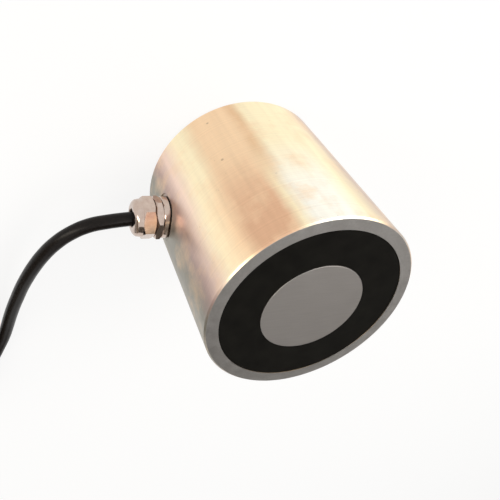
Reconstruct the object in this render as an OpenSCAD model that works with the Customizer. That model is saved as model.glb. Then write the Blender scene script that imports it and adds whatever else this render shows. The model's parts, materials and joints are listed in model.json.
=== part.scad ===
// Round holding electromagnet: a steel pot with a pole core in its middle, a coil potted in black resin
// between the two, and a two-core cable that leaves the side through a metal gland.
// The pot stands on its rear face, the holding face is up and the gland points along +X.

/* [Pot] */
// Outside diameter of the pot
pot_d = 80; // [76:1:100]
// Height from the rear face to the holding face
pot_h = 80; // [70:1:110]
// Thickness of the pot's wall, which is also the width of the outer pole ring
pot_wall = 5; // [4:0.5:7]
// Thickness of the pot's floor
pot_floor = 12; // [9:1:14]
// Chamfer on the pot's outer edges
pot_chamfer = 0.6; // [0.2:0.1:1.2]

/* [Pole core] */
// Diameter of the pole core as a share of the pot's
core_share = 0.5; // [0.46:0.01:0.53]
// Diameter of the core's spigot, which is pressed into the pot's floor
spigot_d = 24; // [18:1:30]
// Chamfer round the pole face
core_chamfer = 0.3; // [0.1:0.1:0.8]
// Drilled diameter of the mounting thread
thread_d = 8.5; // [5:0.1:10.2]
// Depth of the mounting thread from the rear face
thread_depth = 20; // [14:1:30]
// Countersink at the mouth of the mounting thread
thread_countersink = 0.6; // [0.4:0.1:0.7]

/* [Coil] */
// Wall of the coil former's tube
former_wall = 1.5; // [1:0.1:2.5]
// Thickness of the coil former's flanges
flange_t = 2; // [1.6:0.1:3]
// Radial room for leads and resin between the taped winding and the pot
lead_room = 3.6; // [3.3:0.1:5]
// Thickness of the tape round the winding
tape_t = 0.3; // [0.2:0.1:0.6]
// Depth of the resin over the former's front flange
resin_depth = 7; // [4:0.5:10]
// How far the resin lies below the holding face
resin_recess = 0.2; // [0.1:0.1:0.5]
// Way for the resin past the rim of the front flange
resin_gap = 1.5; // [1:0.1:2]
// Diameter of the winding's leads
lead_d = 1.2; // [0.8:0.1:1.4]
// Wall of the sleeves over the joints between leads and cable
splice_wall = 0.4; // [0.3:0.05:0.5]

/* [Gland] */
// Height of the gland's axis above the rear face
gland_z = 24; // [22:0.5:40]
// Diameter of the spot face cut into the pot for the gland
spot_d = 19; // [18:0.5:22]
// Depth of the spot face
spot_depth = 0.9; // [0.6:0.1:1.6]
// Diameter of the gland's entry thread
entry_d = 12; // [11:0.5:13]
// Diameter of the gland's round collar
collar_d = 16.4; // [15.5:0.1:17]
// Thickness of the collar
collar_t = 2.2; // [1:0.1:3]
// Thickness of the sealing ring under the collar, as compressed
seal_ring_t = 0.6; // [0.4:0.1:1]
// Width across the flats of both hexagons
gland_af = 15; // [14.5:0.5:17]
// Length of the base hexagon
base_hex_l = 2.7; // [2:0.1:6]
// Turn of the base hexagon about the gland's axis
base_hex_turn = 16; // [0:1:59]
// Gap that stays between the base hexagon and the tightened nut
nut_gap = 0.35; // [0.2:0.05:2]
// Length of the nut's hexagon
nut_hex_l = 4.7; // [3.5:0.1:8]
// Turn of the nut about the gland's axis
nut_turn = 50; // [0:1:59]
// Length of the nut's dome
dome_l = 3.35; // [3.2:0.05:5]
// Round shoulder at the end of the dome
dome_shoulder = 2.8; // [1.5:0.1:3]
// How much the dome's side leans in over its length
dome_taper = 0.6; // [0:0.1:1]
// Diameter of the threaded neck that carries the nut
neck_d = 11.6; // [11.2:0.1:12]
// Number of fingers on the clamping ring
claw_fingers = 6; // [4:1:10]

/* [Cable] */
// Outside diameter of the cable
cable_d = 5.6; // [5:0.1:6]
// Diameter of each of the cable's insulated conductors
conductor_d = 2.2; // [1.8:0.1:2.4]
// Diameter of a conductor's bare tinned strands
strand_d = 1.3; // [0.8:0.1:1.5]
// Bare length at the end of each conductor
strand_l = 8; // [5:1:12]
// Mean diameter of the put-away coil
coil_d = 60; // [58:1:66]
// Turns in the coil: half of them spiral in on the floor, and the rest spiral out on top of those
coil_turns = 4.44; // [3:0.01:5]
// Thickness of the tie round the coil
tie_t = 0.8; // [0.6:0.1:1.2]
// Width of the tie
tie_w = 3.6; // [2.5:0.1:5]

/* [Hidden] */
$fn = 96;

// Sliding fit between a screwed or slipped-on piece and its seat, on the radius
fit = 0.05;
// Loose fit of the coil former, on the radius
former_fit = 0.2;
// Rounded or broken edges on small pieces
small_edge = 0.3;

// Radii and levels of the pot, the core and the coil
pot_r = pot_d / 2;
bore_r = pot_r - pot_wall;
core_r = pot_r * core_share;
former_in_r = core_r + former_fit;
former_tube_r = former_in_r + former_wall;
tape_r = bore_r - lead_room;
winding_r = tape_r - tape_t;
resin_z = pot_h - resin_recess;
former_top = resin_z - resin_depth;
winding_bottom = pot_floor + flange_t;
winding_top = former_top - flange_t;

// Places along the gland's axis, counted outwards from the spot face
spot_x = pot_r - spot_depth;
stub_end = bore_r - spot_x + small_edge;
collar_top = seal_ring_t + collar_t;
base_hex_top = collar_top + base_hex_l;
nut_start = base_hex_top + nut_gap;
nut_hex_top = nut_start + nut_hex_l;
neck_below = 1.2;
neck_top = nut_hex_top - neck_below;
claw_rim_t = 0.5;
claw_above = 0.5;
claw_top = nut_hex_top + claw_above;
mouth_top = nut_hex_top + dome_l;
mouth_x = spot_x + mouth_top;

// Radii inside the gland
cable_r = cable_d / 2;
entry_room = 0.4;
seal_wall = 0.9;
claw_wall = 0.7;
entry_bore_r = cable_r + entry_room;
mouth_r = cable_r + seal_wall;
claw_r = mouth_r + claw_wall;
neck_r = neck_d / 2;
dome_r = gland_af / 2;

// The leads lie half way between the tape and the pot, and swell a little where they bend sharply
elbow = 1.2;
lead_r = (tape_r + bore_r) / 2;
conductor_pitch = elbow * conductor_d + 2 * fit;
sleeve_d = conductor_d + 2 * splice_wall;
conductor_turn = 22;
splice_turn = 14;
lead_turn = 8;
first_turn = asin(conductor_pitch / 2 / lead_r);
splice_end = first_turn + conductor_turn + splice_turn;
sheath_inset = 1;
sheath_end_x = bore_r + sheath_inset;

// Levels and radii of the put-away coil, which lies on its tie, and its way from the gland's mouth
coil_floor = tie_t;
coil_h = 2 * cable_d;
coil_top_turn_z = coil_floor + coil_h - cable_r;
turn_gap = 0.2;
turn_pitch = cable_d + turn_gap;
layer_w = turn_pitch * coil_turns / 2;
turn_out_r = (coil_d + layer_w) / 2;
coil_out_r = turn_out_r + cable_r;
coil_in_r = coil_out_r - layer_w - cable_d;
coil_away = [90, 95];
coil_at = [mouth_x + coil_away.x, coil_away.y];

// The cable leans to one side in the gland's mouth
mouth_lean = 0.4;
// The cable's way from the gland to the coil: distance from the gland's mouth along X, then Y, then the
// share of the drop from the gland's axis to the floor that is still to come
cable_run = [
    [8, 1.4, 1],
    [15.6, 3.5, 0.975],
    [22.1, 7.9, 0.925],
    [27.3, 13.8, 0.86],
    [31.2, 20.5, 0.78],
    [34.2, 27.6, 0.69],
    [36.6, 34.9, 0.59],
    [38.6, 42.3, 0.485],
    [40.3, 49.9, 0.385],
    [41.9, 57.4, 0.29],
    [43.3, 65.1, 0.2],
    [44.6, 72.8, 0.125],
    [46.2, 80.6, 0.07],
    [48.7, 88.6, 0.04],
    [51.9, 97.4, 0.04]
];
cable_path = concat(
    [[sheath_end_x, 0, gland_z], [spot_x + claw_top, 0, gland_z], [mouth_x, mouth_lean, gland_z]],
    [for (p = cable_run) [mouth_x + p.x, p.y, cable_r + p.z * (gland_z - cable_r)]]
);

// The cable's end, counted from the coil's middle: the way off the top outer turn, then down to the floor
tail_run = [
    [turn_out_r, -2, coil_top_turn_z],
    [turn_out_r, -11, coil_top_turn_z - 0.2],
    [turn_out_r - 0.3, -22, coil_top_turn_z - 1.8],
    [turn_out_r - 1.5, -33, cable_r + 2],
    [turn_out_r - 3.4, -44, cable_r + 0.3],
    [turn_out_r - 4.6, -54, cable_r],
    [turn_out_r - 4.6, -62, cable_r]
];
tail_path = [for (p = tail_run) [coil_at.x + p.x, coil_at.y + p.y, p.z]];
tail_end = tail_path[len(tail_path) - 1];

// A stripped conductor, counted from the end of the sheath: share of the splay to the side, way along,
// share of the drop to the floor
conductor_run = [
    [0, 0, 0],
    [0, -4, 0],
    [0.2, -10, 0.5],
    [0.6, -16, 1],
    [1, -22, 1]
];
conductor_splay = 4;

// Colours as seen
zinc_steel = "#d9bfa0";
ground_steel = "#807c79";
nickel_brass = "#c9b3a0";
black_resin = "#171612";
black_sheath = "#2a2523";
copper = "#a8562c";
brown_pvc = "#6b4127";
blue_pvc = "#2d5d9e";
nylon = "#e6e2d6";
rubber = "#1c1c1c";
tin = "#c7c9cb";

// Puts a shape drawn along +Z on the gland's axis, its zero on the spot face
module at_gland() {
    translate([spot_x, 0, gland_z])
        rotate([0, 90, 0])
            children();
}

// A round pipe between two levels
module pipe(outer_r, inner_r, from_z, to_z) {
    translate([0, 0, from_z])
        difference() {
            cylinder(r = outer_r, h = to_z - from_z);
            translate([0, 0, -1])
                cylinder(r = inner_r, h = to_z - from_z + 2);
        }
}

// A hexagon prism whose corners are turned down to a cone at both ends, as on a nut
module turned_hexagon(af, length) {
    corner_r = af / sqrt(3);
    cone_h = (corner_r - af / 2) * tan(30);
    intersection() {
        cylinder(r = corner_r, h = length, $fn = 6);
        rotate_extrude()
            polygon([
                [0, 0],
                [af / 2, 0],
                [corner_r, cone_h],
                [corner_r, length - cone_h],
                [af / 2, length],
                [0, length]
            ]);
    }
}

// A rectangle from the lower left corner, with round corners
module round_rectangle(size, r) {
    translate([r, 0])
        square([size.x - 2 * r, size.y]);
    translate([0, r])
        square([size.x, size.y - 2 * r]);
    for (x = [r, size.x - r], y = [r, size.y - r])
        translate([x, y])
            circle(r = r);
}

// A tube swept along points, with a ring of corners at each
function unit(v) = v / norm(v);
function heading(path, i) = unit(path[min(i + 1, len(path) - 1)] - path[max(i - 1, 0)]);
function ring(middle, ahead, r, sides) =
    let (side = unit(cross(ahead, [0, 0, 1])), up = cross(side, ahead))
    [for (k = [0 : sides - 1]) middle + r * (cos(360 * k / sides) * side + sin(360 * k / sides) * up)];

module tube(path, d, sides) {
    last = len(path) - 1;
    points = [for (i = [0 : last]) each ring(path[i], heading(path, i), d / 2, sides)];
    walls = [
        for (i = [0 : last - 1], k = [0 : sides - 1])
            let (a = i * sides + k, b = i * sides + (k + 1) % sides)
            each [[a, b, b + sides], [a, b + sides, a + sides]]
    ];
    start = [for (k = [sides - 1 : -1 : 0]) k];
    finish = [for (k = [0 : sides - 1]) last * sides + k];
    polyhedron(points, concat([start], walls, [finish]));
}

// A wire of round section, bent round the pot's axis at one level
module bent_wire(d, from_angle, to_angle, z) {
    rotate([0, 0, from_angle])
        translate([0, 0, z])
            rotate_extrude(angle = to_angle - from_angle)
                translate([lead_r, 0])
                    circle(d = d, $fn = 32);
}

module pot() {
    color(zinc_steel)
        difference() {
            rotate_extrude()
                polygon([
                    [spigot_d / 2, 0],
                    [pot_r - pot_chamfer, 0],
                    [pot_r, pot_chamfer],
                    [pot_r, pot_h - pot_chamfer],
                    [pot_r - pot_chamfer, pot_h],
                    [bore_r, pot_h],
                    [bore_r, pot_floor],
                    [spigot_d / 2, pot_floor]
                ]);
            at_gland()
                cylinder(d = spot_d, h = spot_depth + 1);
            at_gland()
                translate([0, 0, -pot_wall - 1])
                    cylinder(r = entry_d / 2 + fit, h = pot_wall + 2);
        }
}

module pole_core() {
    color(ground_steel)
        rotate_extrude()
            polygon([
                [thread_d / 2 + thread_countersink, 0],
                [spigot_d / 2, 0],
                [spigot_d / 2, pot_floor],
                [core_r, pot_floor],
                [core_r, pot_h - core_chamfer],
                [core_r - core_chamfer, pot_h],
                [0, pot_h],
                [0, thread_depth + thread_d / 2 / tan(59)],
                [thread_d / 2, thread_depth],
                [thread_d / 2, thread_countersink]
            ]);
}

// The rear flange has a slot that brings the inner end of the winding out
module coil_former() {
    slot_w = elbow * lead_d + 2 * fit;
    color(nylon)
        difference() {
            union() {
                pipe(former_tube_r, former_in_r, pot_floor, former_top);
                pipe(bore_r - former_fit, former_in_r, pot_floor, winding_bottom);
                pipe(bore_r - resin_gap, former_in_r, winding_top, former_top);
            }
            rotate([0, 0, -splice_end - lead_turn])
                translate([former_tube_r, -slot_w / 2, pot_floor - 1])
                    cube([bore_r, slot_w, flange_t + 1]);
        }
}

module winding() {
    color(copper)
        pipe(winding_r, former_tube_r, winding_bottom, winding_top);
}

module winding_tape() {
    color("#c9a24a")
        difference() {
            pipe(tape_r, winding_r, winding_bottom, winding_top);
            rotate([0, 0, splice_end + lead_turn])
                translate([former_tube_r, 0, gland_z])
                    rotate([0, 90, 0])
                        cylinder(d = lead_d, h = bore_r - former_tube_r, $fn = 32);
        }
}

// The winding's inner end: out through the flange's slot, up the pot's wall and round to its joint
module lead_start() {
    angle = -splice_end - lead_turn;
    slot_z = winding_bottom - lead_d / 2 - fit;
    color(copper) {
        bent_wire(lead_d, angle, -splice_end, gland_z);
        rotate([0, 0, angle]) {
            translate([lead_r, 0, slot_z])
                cylinder(d = lead_d, h = gland_z - slot_z, $fn = 32);
            translate([former_tube_r + small_edge, 0, slot_z])
                rotate([0, 90, 0])
                    cylinder(d = lead_d, h = lead_r - former_tube_r - small_edge, $fn = 32);
            for (z = [slot_z, gland_z])
                translate([lead_r, 0, z])
                    sphere(d = elbow * lead_d, $fn = 32);
        }
    }
}

// The winding's outer end: through the tape and round to its joint
module lead_finish() {
    angle = splice_end + lead_turn;
    color(copper) {
        bent_wire(lead_d, splice_end, angle, gland_z);
        rotate([0, 0, angle])
            translate([lead_r, 0, gland_z]) {
                sphere(d = elbow * lead_d, $fn = 32);
                rotate([0, -90, 0])
                    cylinder(d = lead_d, h = lead_r - winding_r, $fn = 32);
            }
    }
}

// The cable's conductors inside the pot: in from the sheath's end, then round to their joints
module inner_conductor(side) {
    bent_wire(conductor_d, side > 0 ? first_turn : -first_turn - conductor_turn,
        side > 0 ? first_turn + conductor_turn : -first_turn, gland_z);
    corner_x = lead_r * cos(first_turn);
    translate([corner_x, side * conductor_pitch / 2, gland_z]) {
        sphere(d = elbow * conductor_d, $fn = 32);
        rotate([0, 90, 0])
            cylinder(d = conductor_d, h = sheath_end_x - corner_x, $fn = 32);
    }
}

module conductor_brown() {
    color(brown_pvc)
        inner_conductor(1);
}

module conductor_blue() {
    color(blue_pvc)
        inner_conductor(-1);
}

module splice_sleeves() {
    color(rubber)
        for (side = [-1, 1])
            bent_wire(sleeve_d, side > 0 ? splice_end - splice_turn : -splice_end,
                side > 0 ? splice_end : -splice_end + splice_turn, gland_z);
}

// Resin fills the room round the winding, passes the front flange and closes the holding face
module resin() {
    color(black_resin)
        difference() {
            union() {
                pipe(bore_r, tape_r, winding_bottom, winding_top);
                pipe(bore_r, bore_r - resin_gap, winding_top, former_top);
                pipe(bore_r, core_r, former_top, resin_z);
            }
            lead_start();
            lead_finish();
            splice_sleeves();
            conductor_brown();
            conductor_blue();
        }
}

module seal_ring() {
    color(rubber)
        at_gland()
            pipe(collar_d / 2 - small_edge, entry_d / 2 + fit, 0, seal_ring_t);
}

module gland_body() {
    color(nickel_brass)
        at_gland()
            difference() {
                union() {
                    translate([0, 0, stub_end])
                        cylinder(d = entry_d, h = collar_top - stub_end);
                    translate([0, 0, seal_ring_t])
                        rotate_extrude()
                            polygon([
                                [0, 0],
                                [collar_d / 2, 0],
                                [collar_d / 2, collar_t - small_edge],
                                [collar_d / 2 - small_edge, collar_t],
                                [0, collar_t]
                            ]);
                    translate([0, 0, collar_top])
                        rotate([0, 0, base_hex_turn])
                            turned_hexagon(gland_af, base_hex_l);
                    translate([0, 0, collar_top])
                        cylinder(r = neck_r, h = neck_top - collar_top);
                }
                translate([0, 0, stub_end - 1])
                    cylinder(r = entry_bore_r, h = neck_top - stub_end + 2);
                translate([0, 0, collar_top])
                    cylinder(r = claw_r + fit, h = neck_top - collar_top + 1);
            }
}

// The rubber sleeve that grips the cable
module gland_seal() {
    color(rubber)
        at_gland()
            pipe(mouth_r - fit, cable_r, collar_top, claw_top - small_edge);
}

// The slit ring hangs by its rim on the neck; the nut's cone presses its fingers on the sleeve
module gland_claw() {
    slit_w = 0.6;
    color(nylon)
        at_gland()
            difference() {
                union() {
                    pipe(claw_r, mouth_r, collar_top, claw_top);
                    pipe(neck_r - small_edge, mouth_r, neck_top, neck_top + claw_rim_t);
                }
                for (i = [0 : claw_fingers - 1])
                    rotate([0, 0, 360 * i / claw_fingers])
                        translate([0, -slit_w / 2, neck_top + claw_rim_t])
                            cube([neck_r, slit_w, claw_top]);
            }
}

// Hexagon and dome outside; inside, the thread's bore, the cone that closes the claw, and the cable's mouth
module gland_nut() {
    throat_l = 0.8;
    throat_z = mouth_top - throat_l;
    color(nickel_brass)
        at_gland()
            rotate([0, 0, nut_turn])
                difference() {
                    union() {
                        translate([0, 0, nut_start])
                            turned_hexagon(gland_af, nut_hex_l);
                        translate([0, 0, nut_hex_top])
                            rotate_extrude()
                                intersection() {
                                    polygon([
                                        [0, 0],
                                        [dome_r, 0],
                                        [dome_r - dome_taper, dome_l],
                                        [0, dome_l]
                                    ]);
                                    union() {
                                        square([dome_r, dome_l - dome_shoulder]);
                                        square([dome_r - dome_shoulder, dome_l]);
                                        translate([dome_r - dome_shoulder, dome_l - dome_shoulder])
                                            circle(r = dome_shoulder);
                                    }
                                }
                    }
                    rotate_extrude()
                        polygon([
                            [0, nut_start - 1],
                            [neck_r + fit, nut_start - 1],
                            [neck_r + fit, neck_top + claw_rim_t + small_edge],
                            [claw_r + small_edge, claw_top],
                            [mouth_r, throat_z],
                            [mouth_r, mouth_top - small_edge],
                            [mouth_r + small_edge, mouth_top],
                            [mouth_r + small_edge, mouth_top + fit],
                            [0, mouth_top + fit]
                        ]);
                }
}

module cable() {
    color(black_sheath)
        difference() {
            tube(cable_path, cable_d, 10);
            translate(coil_at)
                cylinder(r = coil_out_r, h = coil_floor + coil_h);
        }
}

module cable_coil() {
    color(black_sheath)
        translate([coil_at.x, coil_at.y, coil_floor])
            rotate_extrude()
                translate([coil_in_r, 0])
                    round_rectangle([coil_out_r - coil_in_r, coil_h], cable_r);
}

// A flat strap round the coil's section, closed by a small lock on its outside
module coil_tie() {
    turn = tie_w / (coil_d / 2) * 180 / PI;
    lock = [3.4, 5.4, 5];
    color(nylon)
        translate(coil_at)
            rotate([0, 0, -90]) {
                rotate([0, 0, -turn / 2])
                    rotate_extrude(angle = turn)
                        translate([coil_in_r, coil_floor])
                            difference() {
                                translate([-tie_t, -tie_t])
                                    round_rectangle(
                                        [coil_out_r - coil_in_r + 2 * tie_t, coil_h + 2 * tie_t],
                                        cable_r + tie_t
                                    );
                                round_rectangle([coil_out_r - coil_in_r, coil_h], cable_r);
                            }
                difference() {
                    translate([coil_out_r, -lock.y / 2, coil_floor + (coil_h - lock.z) / 2])
                        cube(lock + [tie_t, 0, 0]);
                    cylinder(r = coil_out_r + tie_t / 2, h = coil_floor + coil_h);
                }
            }
}

module cable_tail() {
    color(black_sheath)
        difference() {
            tube(tail_path, cable_d, 10);
            translate(coil_at)
                cylinder(r = coil_out_r, h = coil_floor + coil_h + cable_d);
        }
}

function tail_conductor_path(side) = [
    for (p = conductor_run) [
        tail_end.x + side * (conductor_pitch / 2 + p.x * conductor_splay),
        tail_end.y + p.y,
        tail_end.z + p.z * (conductor_d / 2 - tail_end.z)
    ]
];

module tail_conductor(side) {
    tube(tail_conductor_path(side), conductor_d, 8);
}

module tail_brown() {
    color(brown_pvc)
        tail_conductor(1);
}

module tail_blue() {
    color(blue_pvc)
        tail_conductor(-1);
}

module tail_tinned() {
    color(tin)
        for (side = [-1, 1]) {
            path = tail_conductor_path(side);
            last = len(path) - 1;
            tube([path[last], path[last] + strand_l * heading(path, last)], strand_d, 8);
        }
}

pot();
pole_core();
coil_former();
winding();
winding_tape();
resin();
lead_start();
lead_finish();
splice_sleeves();
conductor_brown();
conductor_blue();
seal_ring();
gland_body();
gland_seal();
gland_claw();
gland_nut();
cable();
cable_coil();
coil_tie();
cable_tail();
tail_brown();
tail_blue();
tail_tinned();
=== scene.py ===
import json
import math

import bmesh
import bpy
from mathutils import Matrix, Vector


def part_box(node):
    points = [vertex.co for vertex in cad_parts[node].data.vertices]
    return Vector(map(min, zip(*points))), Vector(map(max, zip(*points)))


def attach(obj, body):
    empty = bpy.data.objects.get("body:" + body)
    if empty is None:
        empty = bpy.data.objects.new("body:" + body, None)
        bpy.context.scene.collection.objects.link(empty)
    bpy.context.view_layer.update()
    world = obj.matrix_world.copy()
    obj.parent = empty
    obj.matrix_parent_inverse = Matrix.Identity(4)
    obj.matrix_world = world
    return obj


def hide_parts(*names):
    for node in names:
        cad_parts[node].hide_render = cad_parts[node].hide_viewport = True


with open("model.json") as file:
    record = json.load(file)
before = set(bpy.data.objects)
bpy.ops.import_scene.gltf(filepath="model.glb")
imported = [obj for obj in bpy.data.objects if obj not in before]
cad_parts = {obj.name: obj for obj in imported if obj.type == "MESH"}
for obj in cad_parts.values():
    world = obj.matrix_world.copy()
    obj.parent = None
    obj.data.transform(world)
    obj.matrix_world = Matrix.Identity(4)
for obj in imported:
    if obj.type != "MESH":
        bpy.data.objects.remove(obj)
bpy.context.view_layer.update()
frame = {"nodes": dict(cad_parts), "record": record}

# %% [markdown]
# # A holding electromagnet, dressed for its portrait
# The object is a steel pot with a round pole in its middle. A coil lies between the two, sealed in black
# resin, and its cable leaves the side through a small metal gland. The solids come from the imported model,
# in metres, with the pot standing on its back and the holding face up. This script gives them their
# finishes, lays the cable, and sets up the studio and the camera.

scene = bpy.context.scene
scene.view_settings.view_transform = "Standard"
node_of = frame["nodes"]
print("solids from the model:", len(node_of))

# %% [markdown]
# ## The camera
# The photograph shows the magnet lying on its side, seen from the front and a little from the cable's side.
# The model stands on its back, so the camera is turned instead: it looks down from 44 degrees above and is
# rolled until the holding face leans to the lower right. A camera object looks along its own -Z axis, so its
# matrix is made of three directions: to the right in the picture, up in the picture, and back to the viewer.

# %% Camera
camera_data = bpy.data.cameras.new("camera")
camera_data.sensor_fit = "HORIZONTAL"
camera_data.sensor_width = 36
camera_data.lens = 40.5
camera = bpy.data.objects.new("camera", camera_data)
scene.collection.objects.link(camera)

viewpoint = Vector((0.1017, -0.1290, 0.1964))
looking = Vector((-0.4151, 0.5936, -0.6894)).normalized()
picture_right = Vector((-0.9085, -0.2295, 0.3493)).normalized()
picture_up = picture_right.cross(looking)
turn = Matrix((picture_right, picture_up, -looking)).transposed().to_4x4()
camera.matrix_world = Matrix.Translation(viewpoint) @ turn
scene.camera = camera
print("camera is", round(viewpoint.length * 1000), "mm from the middle of the pot's back")

# %% [markdown]
# ## The cable's route
# A round two-core cable of this thickness is a springy thing: it comes straight out of the gland, bends no
# tighter than about four of its diameters, and sinks to the floor under its own weight. The picture shows
# its first 110 mm or so. The rest of the metre is put away in a flat coil, just outside the picture: it
# spirals in on the floor, climbs one diameter, and spirals out again on top of itself. The points of the
# free stretch are the same as in the model, in millimetres here. A Bezier curve with automatic handles
# passes through every point and stays smooth, which a polygon wouldn't.

# %% The free stretch
cable_d = 5.6
gland_z = 24.0
drop = gland_z - cable_d / 2
mouth_x = 53.0

route = [(36.0, 0.0, gland_z), (49.65, 0.0, gland_z), (mouth_x, 0.4, gland_z)]
for along, aside, height in [
    (8, 1.4, 1), (15.6, 3.5, 0.975), (22.1, 7.9, 0.925), (27.3, 13.8, 0.86), (31.2, 20.5, 0.78),
    (34.2, 27.6, 0.69), (36.6, 34.9, 0.59), (38.6, 42.3, 0.485), (40.3, 49.9, 0.385), (41.9, 57.4, 0.29),
    (43.3, 65.1, 0.2), (44.6, 72.8, 0.125), (46.2, 80.6, 0.07), (48.7, 88.6, 0.04), (51.9, 97.4, 0.04),
]:
    route.append((mouth_x + along, aside, cable_d / 2 + height * drop))
print("points on the free stretch:", len(route))

# %% The coil
coil_x, coil_y = mouth_x + 90, 95.0
tie_t = 0.8
turn_gap = 0.2
turn_pitch = cable_d + turn_gap
coil_mean_d = 60
model_turns = 4.44
outer_turn_r = (coil_mean_d + turn_pitch * model_turns / 2) / 2

# the cable joins the coil at 160 degrees and leaves it at 0, after 1600 degrees
joins_at = 160
coil_turns = 1600 / 360
# the climb to the second layer takes two radians
climb_turns = 2.0 / math.tau

points_per_turn = 16
coil_points = round(coil_turns * points_per_turn)
for step in range(coil_points + 1):
    turned = coil_turns * step / coil_points
    past_middle = turned - coil_turns / 2
    radius = outer_turn_r - turn_pitch * (coil_turns / 2 - abs(past_middle))
    angle = math.radians(joins_at) - math.tau * turned
    climb = min(1.0, max(0.0, past_middle / climb_turns + 0.5))
    eased = climb * climb * (3 - 2 * climb)
    level = tie_t + cable_d / 2 + cable_d * eased
    route.append((coil_x + radius * math.cos(angle), coil_y + radius * math.sin(angle), level))
print("turns in the coil:", round(coil_turns, 2), "points:", coil_points + 1)

# %% The tail
for aside, along, level in [
    (0, -11, 9.0), (-0.3, -22, 7.4), (-1.5, -33, 4.8),
    (-3.4, -44, 3.1), (-4.6, -54, 2.8), (-4.6, -62, 2.8),
]:
    route.append((coil_x + outer_turn_r + aside, coil_y + along, level))

cable_line = bpy.data.curves.new("cable_sheath", "CURVE")
cable_line.dimensions = "3D"
cable_line.resolution_u = 6
# the curve's bevel is 1 m, and each point's own radius brings it down to the cable's
cable_line.bevel_depth = 1.0
cable_line.bevel_resolution = 6
cable_line.use_fill_caps = True
spline = cable_line.splines.new("BEZIER")
spline.bezier_points.add(len(route) - 1)
for point, place in zip(spline.bezier_points, route):
    point.co = Vector(place) / 1000
    point.radius = cable_d / 2000
    point.handle_left_type = point.handle_right_type = "AUTO"
cable_sheath = bpy.data.objects.new("cable_sheath", cable_line)
scene.collection.objects.link(cable_sheath)
print("points on the cable:", len(route))

# %% [markdown]
# ## The tie
# A cable tie is a nylon strap pulled through a small square head until it hugs what it holds. The model has
# it as a loop round the whole coil; here it follows the four runs of cable that pass under it. A spiral is
# narrower at some places than at others, so the runs' distances from the coil's middle are worked out first.
# The strap is a band between two outlines with round corners. The head and the strap's cut-off end are boxes,
# and a bevel softens all the edges.

# %% The runs under the tie
# the tie sits on the coil's -Y side, which the cable passes twice on each layer
runs_past = [250 / 360, 610 / 360, coil_turns - 630 / 360, coil_turns - 270 / 360]
half_way = coil_turns / 2
run_r = [outer_turn_r - turn_pitch * (half_way - abs(t - half_way)) for t in runs_past]
corner_r = cable_d / 2
near, far = min(run_r), max(run_r)
low, high = tie_t + corner_r, tie_t + corner_r + cable_d
print("runs under the tie, mm from the coil's middle:", [round(r, 1) for r in run_r])

# %% Strap, head and cut-off end
strap_w, arc_steps = 3.6, 8
shape = bmesh.new()
rings = []
for quarter, (r, z) in enumerate([(far, high), (near, high), (near, low), (far, low)]):
    for step in range(arc_steps + 1):
        a = math.radians(90 * (quarter + step / arc_steps))
        corners = [(side * strap_w / 2, -(r + d * math.cos(a)), z + d * math.sin(a))
                   for d in (corner_r, corner_r + tie_t) for side in (-1, 1)]
        rings.append([shape.verts.new(c) for c in corners])
for here, there in zip(rings, rings[1:] + rings[:1]):
    for i, j in ((0, 1), (1, 3), (3, 2), (2, 0)):
        shape.faces.new((here[i], here[j], there[j], there[i]))
strap_out, half_up = far + corner_r + tie_t, (low + high) / 2
head_size, head_out = (5.4, 3.0, 5.0), 1.2
stub_size, stub_out, stub_up = (strap_w, 1.0, 4.0), 1.6, 3.4
for size, out, up in ((head_size, head_out, 0.0), (stub_size, stub_out, stub_up)):
    block = bmesh.ops.create_cube(shape, size=1.0)["verts"]
    bmesh.ops.scale(shape, vec=size, verts=block)
    bmesh.ops.translate(shape, vec=(0, -(strap_out + out), half_up + up), verts=block)
bmesh.ops.scale(shape, vec=(0.001, 0.001, 0.001), verts=shape.verts)
bmesh.ops.recalc_face_normals(shape, faces=shape.faces)
tie_mesh = bpy.data.meshes.new("cable_tie")
shape.to_mesh(tie_mesh)
shape.free()
cable_tie = bpy.data.objects.new("cable_tie", tie_mesh)
cable_tie.location = (coil_x / 1000, coil_y / 1000, 0)
scene.collection.objects.link(cable_tie)
softened = cable_tie.modifiers.new("softened_edges", "BEVEL")
softened.width, softened.segments = 0.0002, 2
print("tie has", len(tie_mesh.polygons), "faces")

# %% [markdown]
# It replaces the three plain solids that stand for the sheath, and the tie replaces its plain loop. The
# stripped ends keep their own solids and go with the cable.

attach(cable_tie, "root")
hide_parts("coil_tie")
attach(cable_sheath, "root")
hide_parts("cable", "cable_coil", "cable_tail")
print("cable declared")

# %% [markdown]
# ## Tools for finishes
# Colours are written as a screen shows them, in hex, and Blender's shaders work in linear light, so one
# function converts them. Another adds a node to a material: it sets the node's own properties and unlinked
# inputs, and links the rest. Patterns get their scale from a real size: a noise texture of scale 1 repeats
# about once in a metre, so one of scale 1000 has features of a millimetre. A wave texture of scale 1 runs
# through 20 radians in a metre, so its scale has a factor of its own.

# %% Colour and node helpers
def linear(hex_colour):
    channels = [int(hex_colour[i:i + 2], 16) / 255 for i in (1, 3, 5)]
    return [c / 12.92 if c <= 0.04045 else ((c + 0.055) / 1.055) ** 2.4 for c in channels] + [1.0]


def add(tree, kind, settings={}, links={}):
    node = tree.nodes.new("ShaderNode" + kind)
    for name, value in settings.items():
        if isinstance(name, str) and hasattr(node, name):
            setattr(node, name, value)
        else:
            node.inputs[name].default_value = value
    for name, (source, output) in links.items():
        tree.links.new(source.outputs[output], node.inputs[name])
    return node


def per_mm(size):
    return 1000 / size


def wave_per_mm(size):
    return per_mm(size) * math.tau / 20


def new_finish(name, settings):
    finish = bpy.data.materials.new(name)
    finish.use_nodes = True
    tree = finish.node_tree
    surface = tree.nodes["Principled BSDF"]
    for socket, value in settings.items():
        surface.inputs[socket].default_value = value
    return finish, tree, surface


print("helpers are ready")

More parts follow.
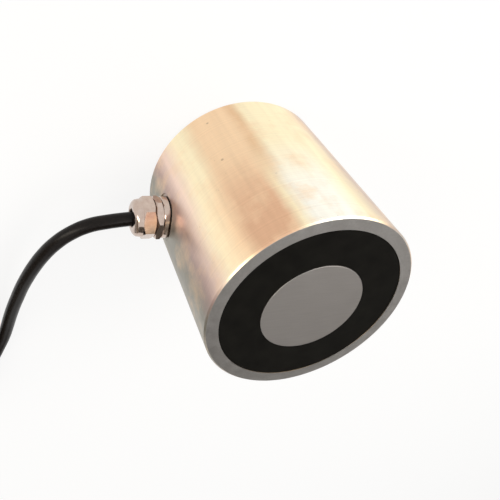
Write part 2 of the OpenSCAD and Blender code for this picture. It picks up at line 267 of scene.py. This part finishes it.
# %% [markdown]
# A few more helpers take up what most finishes share: a noise of a real size, a new range for a number, a ramp
# between two colours, a mix of two colours and a shallow bump. A source is a node with the name or number of
# its output. Blender's Mix node has one set of sockets for each type of data, so the ones used here get names.

# %% Pattern helpers
FACTOR, VECTOR_A, VECTOR_B, VECTOR_OUT = 0, 4, 5, 1
COLOUR_A, COLOUR_B, COLOUR_OUT = 6, 7, 2
# most values of a noise lie in this range
NOISE_RANGE = (0.3, 0.7)
FULL_RANGE = (0.0, 1.0)


def feed(tree, surface, socket, source):
    node, output = source
    tree.links.new(node.outputs[output], surface.inputs[socket])


def noise(tree, place, size, detail, roughness=0.5):
    settings = {"Scale": per_mm(size), "Detail": detail, "Roughness": roughness}
    return add(tree, "TexNoise", settings, {"Vector": place})


def remap(tree, source, old, new):
    settings = {"From Min": old[0], "From Max": old[1], "To Min": new[0], "To Max": new[1]}
    return add(tree, "MapRange", settings, {"Value": source})


def two_tones(tree, source, dark, light):
    ramp = add(tree, "ValToRGB", {}, {"Fac": source})
    ends = ramp.color_ramp.elements
    ends[0].color, ends[1].color = linear(dark), linear(light)
    return ramp


def mix_colours(tree, share, first, second):
    settings, links = {"data_type": "RGBA"}, {FACTOR: share}
    for socket, colour in ((COLOUR_A, first), (COLOUR_B, second)):
        if isinstance(colour, str):
            settings[socket] = linear(colour)
        else:
            links[socket] = colour
    return add(tree, "Mix", settings, links)


def relief(tree, surface, source, depth):
    bump = add(tree, "Bump", {"Distance": depth / 1000}, {"Height": source})
    feed(tree, surface, "Normal", (bump, 0))


print("pattern helpers are ready")

# %% [markdown]
# ## The studio
# A plain pale floor and three large soft lamps. Shiny metal shows what stands round it, so the lamps are
# wide: in the pot's wall each one becomes a bright band along its length. The lamps are weak enough that a
# colour renders about as it is written. The background must be white without more light on the object, so
# the world and most of the floor's shade are white only for rays that come from the camera, from a shiny
# surface or through a clear one. The rest of the floor's shade is real light, and keeps the shadow.

# %% Lamps
middle = Vector((0.01, 0.0, 0.04))


def towards(azimuth, elevation):
    around, above = math.radians(azimuth), math.radians(elevation)
    return Vector((math.cos(above) * math.cos(around), math.cos(above) * math.sin(around), math.sin(above)))


def soft_lamp(name, azimuth, elevation, distance, size, watts, colour):
    lamp = bpy.data.lights.new(name, "AREA")
    lamp.shape = "RECTANGLE"
    lamp.size, lamp.size_y = size
    lamp.energy = watts
    lamp.color = linear(colour)[:3]
    holder = bpy.data.objects.new(name, lamp)
    away = towards(azimuth, elevation)
    holder.location = middle + distance * away
    holder.rotation_euler = away.to_track_quat("Z", "Y").to_euler()
    scene.collection.objects.link(holder)


soft_lamp("lamp_main", -137, 38, 0.75, (0.50, 0.60), 3.4, "#fff8ee")
soft_lamp("lamp_side", -12, 30, 0.75, (0.18, 0.60), 1.9, "#fff4e2")
soft_lamp("lamp_over", 170, 72, 0.80, (0.50, 0.50), 1.8, "#ffffff")

# %% White background
world = bpy.data.worlds.new("studio_air")
scene.world = world
world.use_nodes = True
air = world.node_tree
air.nodes.clear()


def seen_directly(tree):
    ray = add(tree, "LightPath")
    either = {"operation": "MAXIMUM"}
    shiny = add(tree, "Math", either, {0: (ray, "Is Camera Ray"), 1: (ray, "Is Glossy Ray")})
    return add(tree, "Math", either, {0: (shiny, 0), 1: (ray, "Is Transmission Ray")})


dim = add(air, "Background", {"Color": linear("#ffffff"), "Strength": 0.42})
white = add(air, "Background", {"Color": linear("#ffffff"), "Strength": 1.0})
sky = add(air, "MixShader", {}, {"Fac": (seen_directly(air), 0), 1: (dim, 0), 2: (white, 0)})
add(air, "OutputWorld", {}, {"Surface": (sky, 0)})
print("world is white for the camera and dim for the rest")

# %% Floor
def sheet_of(name, half_w, half_h):
    mesh = bpy.data.meshes.new(name)
    corners = [(-half_w, -half_h, 0), (half_w, -half_h, 0), (half_w, half_h, 0), (-half_w, half_h, 0)]
    mesh.from_pydata(corners, [], [(0, 1, 2, 3)])
    return bpy.data.objects.new(name, mesh)


floor_half = 1.5
floor = sheet_of("floor", floor_half, floor_half)
scene.collection.objects.link(floor)

floor_paper = bpy.data.materials.new("white_paper")
floor_paper.use_nodes = True
paper = floor_paper.node_tree
paper.nodes.clear()
matt = add(paper, "BsdfDiffuse", {"Color": linear("#f6f5f2")})
bright = add(paper, "Emission", {"Color": linear("#ffffff"), "Strength": 1.0})
white_share = 0.84
share = add(paper, "Math", {"operation": "MULTIPLY", 1: white_share}, {0: (seen_directly(paper), 0)})
shade = add(paper, "MixShader", {}, {"Fac": (share, 0), 1: (matt, 0), 2: (bright, 0)})
add(paper, "OutputMaterial", {}, {"Surface": (shade, 0)})
floor.data.materials.append(floor_paper)
print("floor is", 2 * floor_half, "m wide")

# %% [markdown]
# A photographer of shiny things also sets up flags: dark cards out of the picture that put a calm dark shade
# into a reflection. The flat holding face looks straight at the white sky, which would wash it out, so one
# flag stands where the face sees it. A second one stands beside the gland, whose bright dome has no shape
# without something dark to mirror. They show in reflections alone, and cast no shadow.

# %% Flags
face_middle = Vector((0, 0, 0.08))


def flag(name, azimuth, elevation, distance, size, colour):
    away = towards(azimuth, elevation)
    card = sheet_of(name, size[0] / 2, size[1] / 2)
    card.location = face_middle + distance * away
    card.rotation_euler = away.to_track_quat("Z", "Y").to_euler()
    card.visible_camera = card.visible_diffuse = False
    card.visible_shadow = card.visible_transmission = False
    scene.collection.objects.link(card)
    felt = new_finish(name + "_felt", {"Base Color": linear(colour), "Roughness": 1.0})[0]
    card.data.materials.append(felt)


flag("flag_face", 128, 44, 0.55, (0.9, 0.75), "#6a6764")
flag("flag_gland", 30, 14, 0.95, (1.30, 0.60), "#a39a8f")
print("two flags are up")

# %% [markdown]
# ## Zinc-plated steel: the pot
# The pot is turned from steel bar and plated with zinc. The bright zinc is dipped in a passivating bath,
# which leaves a film so thin that it shows interference tints: straw, peach, mauve and a greyish olive. The
# colour bands along the pot are partly those tints and partly painted reflections: the brightest cream and
# straw bands are painted highlights of the lamps, and the greyish olive band by the gland is painted shade.
# Here a radial gradient gives the angle round the pot's axis, a little noise makes the bands waver, and a
# colour ramp turns the angle into tints and painted reflections. The bands differ from end to end, so there are
# two ramps, one for each end, mixed by the height. The tool's marks run round the pot: they spread a reflection
# along the axis, which is what the shader's anisotropy does, and a one-dimensional noise along the height gives
# them as a bump. The real feed of about 0.2 mm is too fine to show, so it is drawn four times as coarse.

# %% Zinc: tints and painted reflections round the pot
zinc, zt, zinc_surface = new_finish(
    "zinc_plated_turned_steel",
    {"Metallic": 1.0, "Anisotropic": 0.7, "Anisotropic Rotation": 0.25},
)
place = (add(zt, "TexCoord"), "Object")
waver_depth = 0.006
waver = noise(zt, place, 25, 6.0, 0.6)
back_half = (-waver_depth / 2, -waver_depth / 2, 0)
centred = add(zt, "Mapping", {"Location": back_half}, {"Vector": place})
shifted = add(
    zt, "VectorMath", {"operation": "MULTIPLY_ADD", 1: (waver_depth, waver_depth, 0)},
    {0: (waver, "Color"), 2: (centred, 0)},
)
angle_round = add(zt, "TexGradient", {"gradient_type": "RADIAL"}, {"Vector": (shifted, "Vector")})


# each ramp mixes the film's tints with painted highlights and painted shade, placed by the angle round the pot
def tint_and_reflection_ramp(bands):
    ramp = add(zt, "ValToRGB", {}, {"Fac": (angle_round, "Fac")})
    stops = ramp.color_ramp.elements
    for turn, band_colour in bands[1:-1]:
        stops.new(0.5 + turn / 360).color = linear(band_colour)
    stops[0].color, stops[len(stops) - 1].color = linear(bands[0][1]), linear(bands[-1][1])
    return ramp


olive, mauve, pink, straw, peach = "#a6a297", "#c8ada4", "#f7dccc", "#fef0cc", "#f8d8b2"
tan, cream, silver, rose, ochre = "#e8c299", "#fffcf0", "#dfd3c7", "#d0bbab", "#e2b694"
pewter = "#cdc3b8"
far_side = [(30, olive), (60, silver), (95, peach), (130, cream), (155, peach), (180, straw)]
# in both ramps the brightest cream and straw bands, from about -106 to -69 degrees and near -35, are painted
# highlights of the lamps, and the olive near 0 is painted shade
at_back = tint_and_reflection_ramp([
    (-180, straw), (-150, peach), (-130, silver), (-118, rose), (-106, straw), (-90, straw), (-76, straw),
    (-71, tan), (-66, peach), (-46, peach), (-38, straw), (-32, straw), (-22, pink), (-14, mauve),
    (-5, olive),
] + far_side)
at_face = tint_and_reflection_ramp([
    (-180, straw), (-150, peach), (-130, pewter), (-118, rose), (-104, straw), (-92, cream), (-75, cream),
    (-69, straw), (-64, ochre), (-47, ochre), (-39, peach), (-29, straw), (-19, pink), (-11, mauve),
    (1, olive),
] + far_side)
height = (add(zt, "SeparateXYZ", {}, {0: place}), "Z")
# the two ramps of tints and painted reflections are blended by the height, from 25 to 70 mm
blend_starts, blend_ends = 0.025, 0.07
face_blend = {"interpolation_type": "SMOOTHSTEP", "From Min": blend_starts, "From Max": blend_ends}
towards_face = add(zt, "MapRange", face_blend, {"Value": height})
tints_and_painted_reflections = mix_colours(zt, (towards_face, 0), (at_back, 0), (at_face, 0))
print("tints round the pot:", len(at_back.color_ramp.elements))

# %% [markdown]
# The film has its faults too. Streaks run along the pot where it drained, soft clouds turn to peach where it is
# thinner, and a plated part that lies in a box with others gets scuffs and a few dark specks.

# %% Zinc: streaks, clouds, scuffs and specks
marks = {"noise_dimensions": "1D", "Scale": per_mm(0.8), "Detail": 2.0}
tool_marks = add(zt, "TexNoise", marks, {"W": height})
stretched = add(zt, "Mapping", {"Scale": (1.0, 1.0, 0.06)}, {"Vector": place})
streaks = noise(zt, (stretched, 0), 2.5, 3.0)
streak_tone = remap(zt, (streaks, "Fac"), NOISE_RANGE, (0.95, 1.03))
mark_tone = remap(zt, (tool_marks, "Fac"), NOISE_RANGE, (0.97, 1.02))
tone = add(zt, "Math", {"operation": "MULTIPLY"}, {0: (streak_tone, 0), 1: (mark_tone, 0)})
clouds = noise(zt, place, 11, 6.0, 0.62)
cloud_share = remap(zt, (clouds, "Fac"), (0.32, 0.52), (0.5, 0.0))
clouded = mix_colours(zt, (cloud_share, 0), (tints_and_painted_reflections, COLOUR_OUT), peach)
streaked = add(
    zt, "Mix", {"data_type": "RGBA", "blend_type": "MULTIPLY", FACTOR: 1.0},
    {COLOUR_A: (clouded, COLOUR_OUT), COLOUR_B: (tone, 0)},
)
scuffs = noise(zt, place, 3.5, 6.0, 0.7)
scuff_share = remap(zt, (scuffs, "Fac"), (0.66, 0.76), (0.0, 0.45))
scuffed = mix_colours(zt, (scuff_share, 0), (streaked, COLOUR_OUT), "#8f7a66")
cells = add(zt, "TexVoronoi", {"Scale": per_mm(14)}, {"Vector": place})
speck_share = remap(zt, (cells, "Distance"), (0.03, 0.05), (0.4, 0.0))
specked = mix_colours(zt, (speck_share, 0), (scuffed, COLOUR_OUT), "#6b5140")
print("clouds about 11 mm across, scuffs 3 mm, specks 1 mm")

# %% [markdown]
# The pot's open end is the outer pole. It is ground flat after plating, together with the core, so it shows
# bare grey steel. The height in the model tells that face from the rest: only the ground face lies within
# 0.05 mm of the top. The grinder's strokes lie straight across it, so there the tangent is one direction.

# %% Zinc: the ground rim, the turning marks and the roughness
pot_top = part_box("pot")[1].z
ground_skin = 0.00005
rim = add(zt, "Math", {"operation": "GREATER_THAN", 1: pot_top - ground_skin}, {0: height})
rim_grain = noise(zt, place, 0.9, 4.0)
rim_tone = two_tones(zt, (rim_grain, "Fac"), "#a3a09d", "#b8b5b2")
pot_colour = mix_colours(zt, (rim, 0), (specked, COLOUR_OUT), (rim_tone, 0))
feed(zt, zinc_surface, "Base Color", (pot_colour, COLOUR_OUT))

relief(zt, zinc_surface, (tool_marks, "Fac"), 0.03)
polish = remap(zt, (scuffs, "Fac"), NOISE_RANGE, (0.34, 0.44))
feed(zt, zinc_surface, "Roughness", (polish, 0))
round_axis = add(zt, "Tangent", {"direction_type": "RADIAL", "axis": "Z"})
strokes = {"data_type": "VECTOR", VECTOR_B: (0.83, 0.56, 0.0)}
lay = add(zt, "Mix", strokes, {FACTOR: (rim, 0), VECTOR_A: (round_axis, 0)})
feed(zt, zinc_surface, "Tangent", (lay, VECTOR_OUT))
print("pot's ground face is at", round(pot_top * 1000, 1), "mm")

# %% [markdown]
# ## Ground steel: the pole core
# The pole face is ground on a flat grinder so that a workpiece sits on it without a gap. Grinding leaves fine
# parallel scratches, and the steel is bare and grey. Noise stretched along one direction gives the
# scratches; the real ones are some hundredths of a millimetre wide, so they are drawn at 0.5 mm. Below the
# ground face the core's edge is painted nearly black: painted shade that keeps its chamfer from showing a
# bright line.

# %% Ground steel
ground, gt, ground_surface = new_finish("ground_bare_steel", {"Metallic": 1.0})
place = (add(gt, "TexCoord"), "Object")
drawn_out = {"Rotation": (0, 0, 0.6), "Scale": (0.05, 1.0, 1.0)}
along_grind = add(gt, "Mapping", drawn_out, {"Vector": place})
scratches = (noise(gt, (along_grind, 0), 0.5, 3.0), "Fac")
grey = two_tones(gt, scratches, "#aaa6a3", "#bab6b3")
core_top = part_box("pole_core")[1].z
level = (add(gt, "SeparateXYZ", {}, {0: place}), "Z")
face = add(gt, "Math", {"operation": "GREATER_THAN", 1: core_top - ground_skin}, {0: level})
# below the ground face the colour is painted shade, nearly black, so the chamfer shows no bright line
core_colour_with_painted_dark_edge = mix_colours(gt, (face, 0), "#2b2927", (grey, 0))
feed(gt, ground_surface, "Base Color", (core_colour_with_painted_dark_edge, COLOUR_OUT))
dull = remap(gt, scratches, FULL_RANGE, (0.42, 0.52))
feed(gt, ground_surface, "Roughness", (dull, 0))
relief(gt, ground_surface, scratches, 0.004)
print("made", ground.name)

# %% [markdown]
# ## Nickel-plated brass: the gland
# The gland's body and nut are turned from brass hexagon bar and plated with bright nickel, which is warmer
# than chrome. The plating is smooth, so the facets act as small mirrors. A faint cloudiness in the roughness
# and a trace of the cutting marks keep it from looking like a drawing.

# %% Nickel
nickel, nt, nickel_surface = new_finish("nickel_plated_brass", {"Metallic": 1.0})
place = (add(nt, "TexCoord"), "Object")
cloud = (noise(nt, place, 2.0, 3.0), "Fac")
nickel_tone = two_tones(nt, cloud, "#b59d90", "#d6c6ba")
feed(nt, nickel_surface, "Base Color", (nickel_tone, 0))
shine = remap(nt, cloud, FULL_RANGE, (0.06, 0.16))
feed(nt, nickel_surface, "Roughness", (shine, 0))
relief(nt, nickel_surface, cloud, 0.01)
print("made", nickel.name)

# %% [markdown]
# ## Plastics, rubber and resin
# The remaining materials don't conduct, so they have a colour of their own under a weak clear reflection.
# They share one recipe: two close shades mixed by a noise of a real size, and the same noise as a shallow
# bump. Only the shades, the size, the roughness and the strength of the reflection differ. Black ones have
# a weak reflection, because theirs is matt from the mould or the die.

# %% Mottled finishes
def mottled(name, dark, light, size, depth, roughness, ior, reflection=0.5):
    settings = {"Roughness": roughness, "IOR": ior, "Specular IOR Level": reflection}
    finish, tree, surface = new_finish(name, settings)
    grain = (noise(tree, (add(tree, "TexCoord"), "Object"), size, 3.0), "Fac")
    shades = two_tones(tree, grain, dark, light)
    for end, position in zip(shades.color_ramp.elements, NOISE_RANGE):
        end.position = position
    feed(tree, surface, "Base Color", (shades, 0))
    relief(tree, surface, grain, depth)
    return finish


# cast epoxy sets with a satin skin and a few flow marks: nearly black, hardly shiny
epoxy = mottled(
    "cast_black_epoxy", "#0a0907", "#12110e",
    size=6.0, depth=0.01, roughness=0.6, ior=1.5, reflection=0.07,
)
# soft PVC from a die: faint lengthwise gloss, brownish black
sheath = mottled(
    "extruded_black_pvc", "#0f0c0a", "#191411",
    size=1.2, depth=0.006, roughness=0.30, ior=1.53, reflection=0.14,
)
# moulded nitrile rubber: matt and dull black
rubber = mottled(
    "moulded_nitrile_rubber", "#141414", "#1f1f1f",
    size=0.9, depth=0.01, roughness=0.8, ior=1.5, reflection=0.2,
)
# natural nylon from a mould: milky, slightly yellow
nylon = mottled(
    "moulded_natural_nylon", "#dcd6c6", "#ece8dc", size=2.5, depth=0.01, roughness=0.45, ior=1.53,
)
# coloured insulation from a die: even and softly glossy
brown_insulation = mottled(
    "extruded_brown_pvc", "#5f3821", "#764a2e", size=0.8, depth=0.005, roughness=0.45, ior=1.53,
)
blue_insulation = mottled(
    "extruded_blue_pvc", "#27528d", "#346aae", size=0.8, depth=0.005, roughness=0.45, ior=1.53,
)
# polyester tape shows the wound wire's ridges through its film
tape = mottled(
    "polyester_film_tape", "#b88f38", "#d6b25c", size=1.5, depth=0.02, roughness=0.3, ior=1.6,
)
print("made", [f.name for f in (epoxy, sheath, rubber, nylon, brown_insulation, blue_insulation, tape)])

# %% [markdown]
# ## Wire: copper and tin
# The winding is enamelled copper wire, laid turn by turn: rings of about a millimetre round the axis. The
# stripped ends of the cable are fine strands, twisted and dipped in tin. Both are metals, and both show
# their lay as a wave in the bump.

# %% Copper winding
copper, ct, copper_surface = new_finish("enamelled_copper_wire", {"Metallic": 1.0, "Roughness": 0.3})
place = (add(ct, "TexCoord"), "Object")
rings = {"bands_direction": "Z", "Scale": wave_per_mm(1.0), "Distortion": 0.4}
turns = (add(ct, "TexWave", rings, {"Vector": place}), "Fac")
copper_tone = two_tones(ct, turns, "#7c3a1b", "#c4703f")
feed(ct, copper_surface, "Base Color", (copper_tone, 0))
relief(ct, copper_surface, turns, 0.2)
print("made", copper.name)

# %% Tinned strands
tinned, tt, tinned_surface = new_finish("tinned_copper_strands", {"Metallic": 1.0, "Roughness": 0.32})
place = (add(tt, "TexCoord"), "Object")
lay_angle = add(tt, "Mapping", {"Rotation": (0.0, 0.0, 0.5)}, {"Vector": place})
twisted = {"bands_direction": "X", "Scale": wave_per_mm(0.35)}
strands = (add(tt, "TexWave", twisted, {"Vector": (lay_angle, 0)}), "Fac")
tin_tone = two_tones(tt, strands, "#9fa1a3", "#d3d5d7")
feed(tt, tinned_surface, "Base Color", (tin_tone, 0))
relief(tt, tinned_surface, strands, 0.1)
print("made", tinned.name)

# %% [markdown]
# ## Put the finishes on
# Each solid has one material slot, named in the record. Replacing what is in the slot changes the finish and
# leaves the solid as it is.

# %% Assign
finish_of_slot = {
    "zinc_steel": zinc, "ground_steel": ground, "nickel_brass": nickel, "black_resin": epoxy,
    "black_sheath": sheath, "copper": copper, "tape": tape, "brown_pvc": brown_insulation,
    "blue_pvc": blue_insulation, "nylon": nylon, "rubber": rubber, "tin": tinned,
}
for piece in frame["record"]["subparts"]:
    solid = node_of[piece["node"]]
    solid.data.materials.clear()
    solid.data.materials.append(finish_of_slot[piece["material_slot"]])
cable_sheath.data.materials.append(sheath)
cable_tie.data.materials.append(nylon)
print("finished solids:", len(node_of), "and the cable with its tie")
